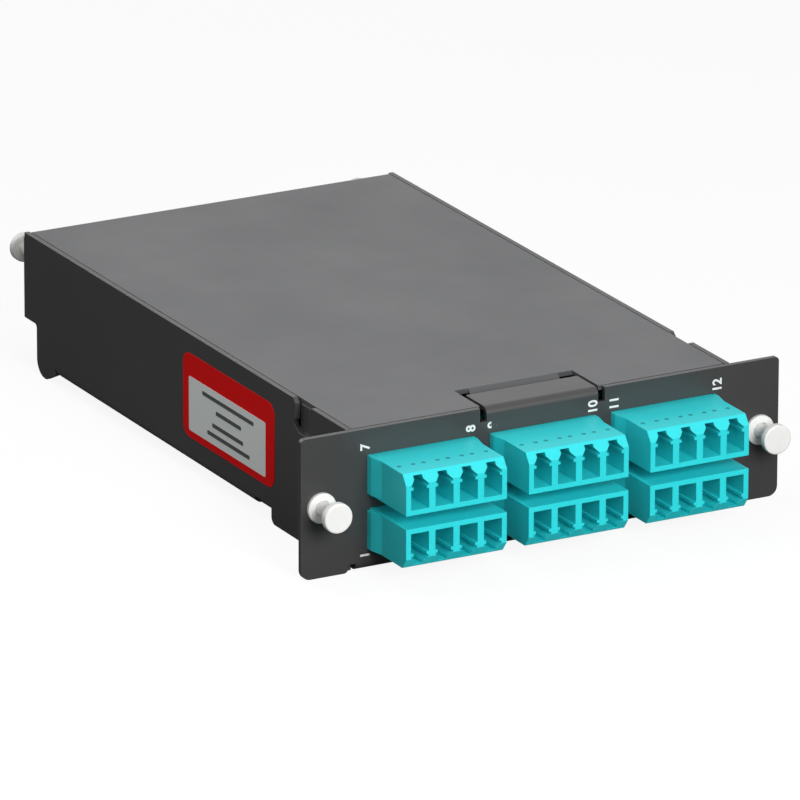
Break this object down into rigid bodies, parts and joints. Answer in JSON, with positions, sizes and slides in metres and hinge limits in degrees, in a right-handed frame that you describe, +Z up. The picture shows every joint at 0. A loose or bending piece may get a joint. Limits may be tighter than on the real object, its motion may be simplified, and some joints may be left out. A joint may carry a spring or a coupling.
{
  "type": "fibre cassette",
  "caption": "Flat black sheet-metal fibre cassette with a grey lid, aqua LC adapters across the front plate, white push-pull plungers and MPO inlets behind.",
  "frame": {"origin": "midway between the two front plungers, on the rear face of the front plate", "axes": "+X right along the front plate, +Y towards the rear, +Z up"},
  "size_m": [0.1246, 0.1915, 0.0338],
  "materials": {
    "black_powder_coat": "satin powder coat",
    "grey_satin_coat": "satin",
    "white_nylon": "satin moulded",
    "aqua_plastic": "satin moulded",
    "mount_plastic": "satin moulded",
    "zirconia": "polished ceramic",
    "spring_steel": "bright",
    "plug_plastic": "moulded",
    "black_plastic": "moulded",
    "drum_plastic": "moulded",
    "aqua_jacket": "smooth jacket",
    "white_ink": "screen-printed ink",
    "red_vinyl": "printed vinyl label",
    "pale_vinyl": "printed vinyl label"
  },
  "bodies": {
    "cassette": {"cassette_tray": "black_powder_coat", "lid": "grey_satin_coat", "front_grommet_left": "white_nylon", "front_grommet_right": "white_nylon", "rear_grommet_left": "white_nylon", "rear_grommet_right": "white_nylon", "adapter_upper_left": "aqua_plastic", "sleeve_mounts_upper_left": "mount_plastic", "sleeves_upper_left": "zirconia", "clip_upper_left": "spring_steel", "inner_plugs_upper_left": "plug_plastic", "adapter_upper_middle": "aqua_plastic", "sleeve_mounts_upper_middle": "mount_plastic", "sleeves_upper_middle": "zirconia", "clip_upper_middle": "spring_steel", "inner_plugs_upper_middle": "plug_plastic", "adapter_upper_right": "aqua_plastic", "sleeve_mounts_upper_right": "mount_plastic", "sleeves_upper_right": "zirconia", "clip_upper_right": "spring_steel", "inner_plugs_upper_right": "plug_plastic", "adapter_lower_left": "aqua_plastic", "sleeve_mounts_lower_left": "mount_plastic", "sleeves_lower_left": "zirconia", "clip_lower_left": "spring_steel", "inner_plugs_lower_left": "plug_plastic", "adapter_lower_middle": "aqua_plastic", "sleeve_mounts_lower_middle": "mount_plastic", "sleeves_lower_middle": "zirconia", "clip_lower_middle": "spring_steel", "inner_plugs_lower_middle": "plug_plastic", "adapter_lower_right": "aqua_plastic", "sleeve_mounts_lower_right": "mount_plastic", "sleeves_lower_right": "zirconia", "clip_lower_right": "spring_steel", "inner_plugs_lower_right": "plug_plastic", "mpo_adapter_left": "black_plastic", "mpo_plug_left": "plug_plastic", "slack_drum_left": "drum_plastic", "harness_left": "aqua_jacket", "mpo_adapter_right": "black_plastic", "mpo_plug_right": "plug_plastic", "slack_drum_right": "drum_plastic", "harness_right": "aqua_jacket"},
    "front_pin_left_body": {"front_pin_left": "white_nylon"},
    "front_pin_right_body": {"front_pin_right": "white_nylon"},
    "rear_pin_left_body": {"rear_pin_left": "white_nylon"},
    "rear_pin_right_body": {"rear_pin_right": "white_nylon"}
  },
  "joints": [
    {"name": "front_plunger_left_push", "type": "slide", "parent": "cassette", "child": "front_pin_left_body", "axis": [0, 1, 0], "range_m": [0, 0.0053]},
    {"name": "front_plunger_right_push", "type": "slide", "parent": "cassette", "child": "front_pin_right_body", "axis": [0, 1, 0], "range_m": [0, 0.0053]},
    {"name": "rear_plunger_left_push", "type": "slide", "parent": "cassette", "child": "rear_pin_left_body", "axis": [0, -1, 0], "range_m": [0, 0.0053]},
    {"name": "rear_plunger_right_push", "type": "slide", "parent": "cassette", "child": "rear_pin_right_body", "axis": [0, -1, 0], "range_m": [0, 0.0053]}
  ]
}
